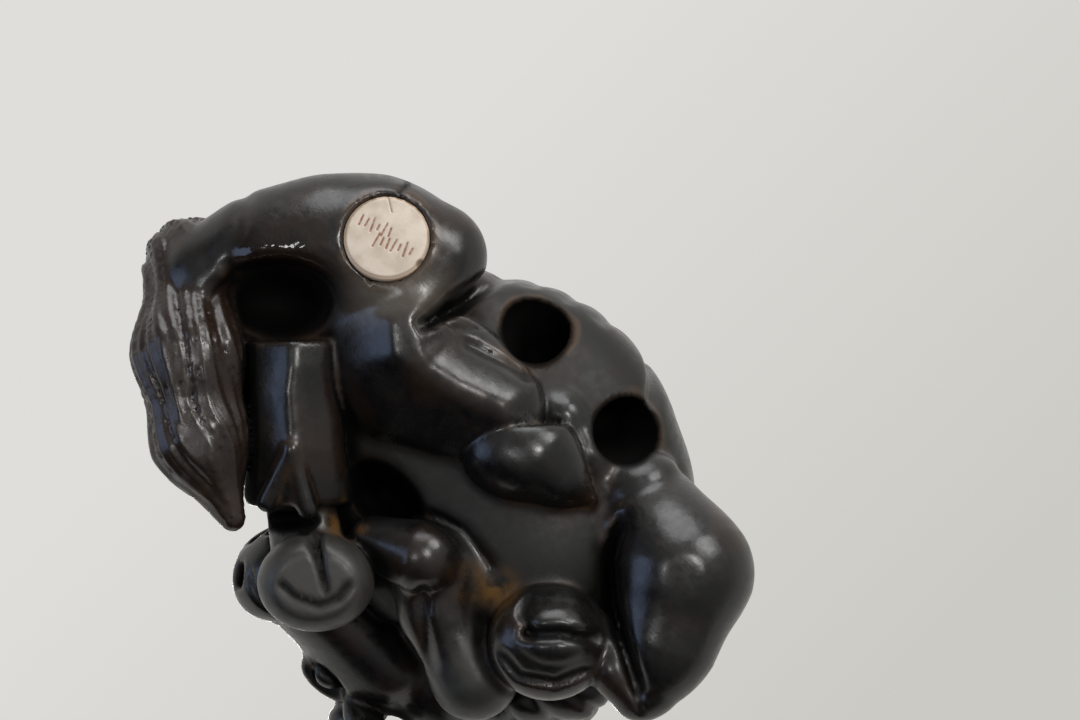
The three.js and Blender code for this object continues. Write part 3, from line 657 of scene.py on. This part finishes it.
WAXY_EDGE = (-0.35, -0.05)  # waxy only where the bare barrel shows, this near its surface
WAXY_HEIGHTS = (8, 12)  # the waxy belly fades between these
LINE_HEIGHTS = (4, 5)  # the painted shade in the fine lines fades between these


def make_ox():
    """The carving's mesh, with a mask for each kind of wear and stain, and for the painted shade and painted
    highlights.
    """
    verts, quads = sculpt(carved_form, CELL)
    normals = vertex_normals(verts, quads)
    # painted shade: how closed in each point is, to darken the colour in hollows
    hollow_shade = np.zeros(len(verts), F)
    for reach in vec(HOLLOW_REACHES):
        hollow_shade += np.clip(1 - carved_form(verts + reach * normals) / reach, 0, 1) / len(HOLLOW_REACHES)
    depth = F(WORN_DEPTH)
    # the edges: lighter brown for wear, and also a painted highlight along the crests
    worn = np.clip(1 + carved_form(verts - depth * normals) / depth, 0, 1)
    # the far hoof and toe: paler grey hoof horn, and on the toe a painted reflection
    hooves = np.minimum(mass(verts, FAR_HOOF, HOOF_AXES), limb(verts, FAR_TOE))
    pockets = np.minimum(mass(verts, NEAR_POCKET), cord_tunnel(verts))
    pockets = np.minimum(pockets, mass(verts, DEWCLAW_SHADOW, HOOF_AXES))
    height = verts[:, 2]
    shade = smooth(-pockets, -MASK_EDGE, 0) * smooth(height, *SHADE_HEIGHTS)
    far_pocket = mass(verts, FAR_POCKET, HOOF_AXES)
    far_shade = smooth(-far_pocket, -MASK_EDGE, 0) * smooth(height, *FAR_SHADE_HEIGHTS)
    waxy_low, waxy_high = WAXY_HEIGHTS
    line_low, line_high = LINE_HEIGHTS
    masks = dict(
        hollow_shade=hollow_shade,
        shade=np.maximum(shade, far_shade),
        worn=worn,
        waxy=smooth(-np.abs(barrel(verts)), *WAXY_EDGE) * smooth(-height, -waxy_high, -waxy_low),
        # painted shade along the fine lines, the hooves' clefts and the cracks
        lines=drawn(verts, FINE_LINES) * smooth(-height, -line_high, -line_low),
        hair=smooth(-tail(verts), -MASK_EDGE, -0.1),
        hoof=smooth(-hooves, -MASK_EDGE, 0),
        amber=spots(verts, AMBER_SPOTS, AMBER_SIZE),
        lacquer=spots(verts, LACQUER_SPOTS, LACQUER_SIZE),
        # painted highlight: lighter patches on the shin's ridge band
        painted_highlight=spots(verts, PAINTED_HIGHLIGHT_SPOTS, PAINTED_HIGHLIGHT_SIZE),
    )
    return add_mesh("ox_carving", verts, quads.tolist(), masks)


# The disc's face: strokes, crack and chip, in its own plane, to the right and up as the disc is read
STROKE_ROWS = (((-1.7, 1.2), (0.2, 0.3), 6), ((-0.7, -0.2), (1.6, -1), 7))
STROKE_DEPTH = 0.05
STROKE_WIDTH = 0.09
CRACK_LINE = ((0.1, 2.9), (0.2, 2.3), (0.35, 1.7))
CHIP_PLACE = (2.3, -1.85)
CHIP_RADIUS = 0.42
CHIP_DEPTH = 0.3
CRACK_WIDTH = 0.05
CRACK_DEPTH = 0.08
RIM_WIDTH = 0.25
RIM_WEAR = 0.12
RIM_STAIN = 0.5


def stroke_lines():
    """Rows of short slanting strokes, each a little unlike the last."""
    lines = []
    for row, (start, end, count) in enumerate(STROKE_ROWS):
        for i in range(count):
            x, y = vec(start) + (vec(end) - vec(start)) * F(i / (count - 1))
            lean = 0.42 + 0.1 * math.sin(2.1 * i + row)
            half = 0.34 + 0.16 * math.sin(3.7 * i + 2 * row)
            rise = vec((math.sin(lean), math.cos(lean))) * F(half)
            lines.append(((x - rise[0], y - rise[1]), (x + rise[0], y + rise[1])))
    return lines


def make_disc():
    """Rings of faces for the disc's crown, and a plain base."""
    rings, sides = 72, 216
    radii = DISC_RADIUS * np.linspace(0, 1, rings + 1)[1:]
    angles = 2 * np.pi * np.arange(sides) / sides
    flat = np.stack(np.meshgrid(radii, angles, indexing="ij"), -1).reshape(-1, 2)
    plan = np.stack([flat[:, 0] * np.cos(flat[:, 1]), flat[:, 0] * np.sin(flat[:, 1])], 1).astype(F)
    plan = np.vstack([np.zeros((1, 2), F), plan])
    radius = np.linalg.norm(plan, axis=1)
    ink = np.zeros(len(plan), F)
    for line in stroke_lines():
        gap, _ = line_distance(plan, line)
        ink = np.maximum(ink, np.exp(-(gap / F(STROKE_WIDTH)) ** 2))
    crack, _ = line_distance(plan, CRACK_LINE)
    crack = np.exp(-(crack / F(CRACK_WIDTH)) ** 2)
    chip = smooth(-np.linalg.norm(plan - vec(CHIP_PLACE), axis=1), -CHIP_RADIUS, -0.5 * CHIP_RADIUS)
    worn_rim = RIM_WEAR * smooth(radius, DISC_RADIUS - RIM_WIDTH, DISC_RADIUS)
    height = DISC_CROWN * (1 - (radius / DISC_RADIUS) ** 2) - worn_rim
    height = height - STROKE_DEPTH * ink - CRACK_DEPTH * crack - CHIP_DEPTH * chip
    face = np.column_stack([plan, height])
    rim = plan[-sides:]
    base = np.column_stack([rim, np.full(sides, -DISC_THICKNESS)])
    local = np.vstack([face, base, [[0, 0, -DISC_THICKNESS]]]).astype(F)

    def ring_start(ring):
        return 1 + ring * sides

    faces = [(0, 1 + i, 1 + (i + 1) % sides) for i in range(sides)]
    for ring in range(rings):
        inner, outer = ring_start(ring), ring_start(ring + 1)
        for i in range(sides):
            j = (i + 1) % sides
            faces.append((inner + i, outer + i, outer + j, inner + j))
    last, centre = ring_start(rings), len(local) - 1
    faces += [(last + (i + 1) % sides, last + i, centre) for i in range(sides)]

    normal = vec(DISC_NORMAL) / np.linalg.norm(DISC_NORMAL)
    read_up = vec((-1, 1, 0)) - normal * (vec((-1, 1, 0)) @ normal)
    read_up = read_up / np.linalg.norm(read_up)
    read_right = np.cross(read_up, normal)
    verts = vec(DISC_CENTRE) + local @ np.stack([read_right, read_up, normal]).astype(F)
    pad = np.zeros(sides + 1, F)
    masks = dict(
        ink=np.concatenate([np.maximum(ink, crack), pad]),
        rim=np.concatenate([smooth(radius, DISC_RADIUS - RIM_STAIN, DISC_RADIUS), pad + 1]),
        chip=np.concatenate([chip, pad]),
    )
    return add_mesh("disc_inlay", verts, faces, masks)


class Shader:
    """Shorthand for one material's nodes."""

    def __init__(self, name):
        self.material = bpy.data.materials.new(name)
        self.material.use_nodes = True
        self.tree = self.material.node_tree
        self.surface = self.tree.nodes["Principled BSDF"]

    def node(self, kind, **settings):
        node = self.tree.nodes.new(kind)
        for key, value in settings.items():
            setattr(node, key, value)
        return node

    def link(self, value, socket):
        if isinstance(value, bpy.types.NodeSocket):
            self.tree.links.new(value, socket)
        else:
            socket.default_value = value

    def mask(self, name):
        return self.node("ShaderNodeAttribute", attribute_name=name).outputs["Fac"]

    def place(self, stretch=(1, 1, 1)):
        mapping = self.node("ShaderNodeMapping")
        mapping.inputs["Scale"].default_value = stretch
        self.link(self.node("ShaderNodeTexCoord").outputs["Object"], mapping.inputs["Vector"])
        return mapping.outputs["Vector"]

    def noise(self, scale, detail=4.0, stretch=(1, 1, 1)):
        node = self.node("ShaderNodeTexNoise")
        self.link(self.place(stretch), node.inputs["Vector"])
        node.inputs["Scale"].default_value = scale
        node.inputs["Detail"].default_value = detail
        return node.outputs["Fac"]

    def math(self, operation, a, b):
        node = self.node("ShaderNodeMath", operation=operation)
        self.link(a, node.inputs[0])
        self.link(b, node.inputs[1])
        return node.outputs[0]

    def span(self, value, low, high, to_low=0.0, to_high=1.0):
        node = self.node("ShaderNodeMapRange", interpolation_type="SMOOTHSTEP")
        for socket, number in zip(node.inputs, (value, low, high, to_low, to_high)):
            self.link(number, socket)
        return node.outputs[0]

    def mix(self, share, a, b):
        node = self.node("ShaderNodeMix", data_type="RGBA")
        self.link(share, node.inputs["Factor"])
        self.link(a if isinstance(a, bpy.types.NodeSocket) else (*a, 1), node.inputs["A"])
        self.link(b if isinstance(b, bpy.types.NodeSocket) else (*b, 1), node.inputs["B"])
        return node.outputs["Result"]

    def bump(self, height, distance, below=None):
        node = self.node("ShaderNodeBump")
        self.link(height, node.inputs["Height"])
        node.inputs["Distance"].default_value = distance
        node.inputs["Strength"].default_value = 1
        if below is not None:
            self.link(below, node.inputs["Normal"])
        return node.outputs["Normal"]


# Colours of the two materials. Noise scales are in cells to the metre, and bump heights in metres.
WOOD = dict(
    stain=(0.0028, 0.0026, 0.0025),
    thin_stain=(0.0065, 0.0057, 0.005),
    grain=(0.012, 0.008, 0.0052),
    waxy=(0.0125, 0.0125, 0.0108),
    mottle=(0.017, 0.0088, 0.0048),
    hair=(0.024, 0.0125, 0.008),
    # hoof: paler grey hoof horn, and a painted reflection on the far toe
    hoof=(0.03, 0.029, 0.026),
    # painted highlight on the shin's ridge band
    painted_highlight=(0.09, 0.077, 0.063),
    # edges: wear, and a painted highlight on the crests
    worn=(0.06, 0.035, 0.02),
    amber=(0.13, 0.066, 0.018),
    # painted shade: near-black in hollows, pockets and fine lines
    hollow_shade=(0.002, 0.0017, 0.0015),
)
BONE = dict(
    dark=(0.39, 0.325, 0.255),
    light=(0.5, 0.43, 0.355),
    growth=(0.55, 0.42, 0.31),
    rim=(0.4, 0.28, 0.19),
    ink=(0.2, 0.085, 0.045),
    chip=(0.17, 0.11, 0.075),
)


def stained_wood():
    """Black-brown stain, browner in the hair, amber where thin, waxy on the belly; browner on the edges for
    wear and as a painted highlight, a painted highlight on the shin's ridge band, a painted reflection on
    the far toe, and painted shade near-black in hollows, pockets and fine lines.
    """
    s = Shader("stained_wood")
    clouds = s.span(s.noise(260, 5), 0.35, 0.7)
    grain = s.noise(900, 6, (1, 0.12, 1))
    colour = s.mix(clouds, WOOD["stain"], WOOD["thin_stain"])
    colour = s.mix(s.span(grain, 0.5, 0.75, 0, 0.4), colour, WOOD["grain"])
    colour = s.mix(s.math("MULTIPLY", s.mask("waxy"), 0.8), colour, WOOD["waxy"])
    colour = s.mix(s.span(s.noise(170, 3), 0.5, 0.7, 0, 0.7), colour, WOOD["mottle"])
    # the hooves paler, with a painted reflection on the far toe, and a painted highlight on the shin's ridge
    # band
    for mask, share in (("hair", 0.5), ("hoof", 0.6), ("painted_highlight", 0.8)):
        colour = s.mix(s.math("MULTIPLY", s.mask(mask), share), colour, WOOD[mask])
    # edges lighter brown: wear, and a painted highlight on the crests
    worn = s.math("MULTIPLY", s.span(s.mask("worn"), 0.12, 0.5), s.span(s.noise(500, 4), 0.3, 0.65))
    colour = s.mix(s.math("MULTIPLY", worn, 0.6), colour, WOOD["worn"])
    amber = s.math("MULTIPLY", s.mask("amber"), s.span(s.noise(700, 5), 0.35, 0.65))
    colour = s.mix(amber, colour, WOOD["amber"])
    # painted shade: the colour turns near-black in hollows, pockets and fine lines
    hollow_shade = s.math("MAXIMUM", s.span(s.mask("hollow_shade"), 0.2, 0.7), s.mask("shade"))
    hollow_shade = s.math("MAXIMUM", hollow_shade, s.math("MULTIPLY", s.mask("lines"), 0.8))
    colour = s.mix(hollow_shade, colour, WOOD["hollow_shade"])
    s.link(colour, s.surface.inputs["Base Color"])
    rough = s.span(s.noise(1500, 5), 0.3, 0.7, 0.23, 0.34)
    rough = s.math("ADD", rough, s.math("MULTIPLY", s.mask("waxy"), 0.22))
    rough = s.math("ADD", rough, s.math("MULTIPLY", hollow_shade, 0.5))
    rough = s.math("ADD", rough, s.math("MULTIPLY", s.mask("hoof"), 0.15))
    rough = s.math("SUBTRACT", rough, s.math("MULTIPLY", s.mask("lacquer"), 0.3))
    s.link(s.math("MAXIMUM", rough, 0.06), s.surface.inputs["Roughness"])
    gloss = s.math("SUBTRACT", 0.5, s.math("MULTIPLY", s.mask("waxy"), 0.25))
    gloss = s.math("SUBTRACT", gloss, s.math("MULTIPLY", hollow_shade, 0.42))
    s.link(s.math("MAXIMUM", gloss, 0.06), s.surface.inputs["Specular IOR Level"])
    scratches = s.noise(5200, 3, (1, 0.08, 1))
    normal = s.bump(scratches, 0.000005)
    normal = s.bump(s.noise(1600, 4), 0.000014, normal)
    normal = s.bump(s.math("MULTIPLY", s.noise(380, 3), s.mask("lacquer")), 0.00035, normal)
    s.link(normal, s.surface.inputs["Normal"])
    return s.material


def pale_bone():
    """Cream inlay with faint cloudy growth lines, a stained rim and dark red-brown strokes."""
    s = Shader("pale_bone")
    clouds = s.noise(700, 5)
    colour = s.mix(s.span(clouds, 0.3, 0.7), BONE["dark"], BONE["light"])
    growth = s.noise(2600, 3, (1, 0.15, 1))
    colour = s.mix(s.span(growth, 0.5, 0.8, 0, 0.3), colour, BONE["growth"])
    colour = s.mix(s.span(s.mask("rim"), 0.4, 1, 0, 0.6), colour, BONE["rim"])
    ink = s.math("MULTIPLY", s.span(s.mask("ink"), 0.25, 0.8), s.span(s.noise(4000, 3), 0.2, 0.6, 0.45, 1))
    colour = s.mix(ink, colour, BONE["ink"])
    colour = s.mix(s.math("MULTIPLY", s.mask("chip"), 0.7), colour, BONE["chip"])
    s.link(colour, s.surface.inputs["Base Color"])
    s.link(s.span(clouds, 0.3, 0.7, 0.33, 0.48), s.surface.inputs["Roughness"])
    s.link(s.bump(s.noise(6000, 3), 0.000008), s.surface.inputs["Normal"])
    return s.material


def floor_paper():
    s = Shader("floor_paper")
    s.link(s.mix(s.noise(60, 3), (0.78, 0.775, 0.755), (0.82, 0.815, 0.8)), s.surface.inputs["Base Color"])
    s.surface.inputs["Roughness"].default_value = 0.8
    return s.material


FLOOR_DROP = 0.1 * MM


def add_floor():
    """A pale floor. The light of the underside comes through it from below."""
    half = 0.6
    mesh = bpy.data.meshes.new("floor")
    corners = [(-half, -half), (half, -half), (half, half), (-half, half)]
    mesh.from_pydata([(x, y, -FLOOR_DROP) for x, y in corners], [], [(0, 1, 2, 3)])
    floor = bpy.data.objects.new("floor", mesh)
    bpy.context.scene.collection.objects.link(floor)
    mesh.materials.append(floor_paper())
    floor.visible_shadow = False
    floor.visible_diffuse = False
    floor.visible_glossy = False


def add_camera():
    """Straight from below, as the photograph looks at the underside, from just under the floor."""
    reach = 260 * MM
    view_width = 72 * MM  # across the picture, at the height of the legs
    leg_height = 3 * MM
    aim = (-12.44 * MM, -0.87 * MM)  # the middle of the picture, right of and above the figure's
    right = Vector((-1, -1, 0)).normalized()
    up = Vector((-1, 1, 0)).normalized()
    camera = bpy.data.objects.new("camera", bpy.data.cameras.new("camera"))
    bpy.context.scene.collection.objects.link(camera)
    turn = Matrix((right, up, right.cross(up))).transposed().to_4x4()
    camera.matrix_world = Matrix.Translation((*aim, -reach)) @ turn
    camera.data.sensor_width = 36
    camera.data.lens = camera.data.sensor_width * (reach + leg_height) / view_width
    camera.data.clip_start = reach - FLOOR_DROP / 2
    bpy.context.scene.camera = camera


def add_light(name, place, size, power, colour=(1, 1, 1)):
    """A round light that faces the figure: place and size in metres, power in watts."""
    light = bpy.data.lights.new(name, "AREA")
    light.shape = "DISK"
    light.size = size
    light.energy = power
    light.color = colour
    lamp = bpy.data.objects.new(name, light)
    bpy.context.scene.collection.objects.link(lamp)
    lamp.location = place
    lamp.rotation_euler = (Vector((0, 0, 0.01)) - Vector(place)).to_track_quat("-Z", "Y").to_euler()
    lamp.visible_camera = False
    return lamp


def add_world():
    """Pale paper above, and below it a room that is bright on one side and dark on the other."""
    world = bpy.data.worlds.new("world")
    bpy.context.scene.world = world
    world.use_nodes = True
    tree = world.node_tree
    split = tree.nodes.new("ShaderNodeSeparateXYZ")
    place = tree.nodes.new("ShaderNodeTexCoord").outputs["Generated"]
    tree.links.new(place, split.inputs[0])

    def span(value, low, high):
        node = tree.nodes.new("ShaderNodeMapRange")
        tree.links.new(value, node.inputs[0])
        node.inputs[1].default_value = low
        node.inputs[2].default_value = high
        return node.outputs[0]

    def mix(share, a, b):
        node = tree.nodes.new("ShaderNodeMix")
        node.data_type = "RGBA"
        tree.links.new(share, node.inputs["Factor"])
        for socket, value in ((node.inputs["A"], a), (node.inputs["B"], b)):
            if isinstance(value, tuple):
                socket.default_value = (*value, 1)
            else:
                tree.links.new(value, socket)
        return node.outputs["Result"]

    paper = mix(span(split.outputs["Y"], -0.12, 0.06), (0.6, 0.595, 0.56), (0.74, 0.73, 0.705))
    facing = tree.nodes.new("ShaderNodeVectorMath")
    facing.operation = "DOT_PRODUCT"
    tree.links.new(place, facing.inputs[0])
    facing.inputs[1].default_value = (-0.8, 0.05, -0.5)
    room = mix(span(facing.outputs["Value"], -0.25, 0.95), (0.015, 0.016, 0.022), (0.6, 0.6, 0.59))
    colour = mix(span(split.outputs["Z"], -0.12, 0.02), room, paper)
    tree.links.new(colour, tree.nodes["Background"].inputs["Color"])


ox = make_ox()
ox.data.materials.append(stained_wood())
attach(ox, "root")
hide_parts("carved_ox")

disc = make_disc()
disc.data.materials.append(pale_bone())
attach(disc, "root")
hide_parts("inlaid_disc")

add_camera()
add_floor()
add_world()
add_light("window", (-0.22, 0.2, -0.06), 0.24, 0.55, (0.97, 0.98, 1))
add_light("side", (-0.25, 0, -0.13), 0.14, 0.34)
add_light("lamp", (-0.11, -0.02, -0.24), 0.055, 0.22, (1, 0.98, 0.95))
add_light("glint", (0.05, 0.06, -0.24), 0.04, 0.06)
add_light("sky", (0.16, 0.18, -0.1), 0.18, 0.15, (0.5, 0.65, 1))
add_light("ceiling", (-0.12, 0.06, 0.34), 0.3, 2.4).visible_glossy = False
add_light("shelf", (0.04, 0, 0.36), 0.12, 0.5)
bpy.context.scene.view_settings.view_transform = "Standard"
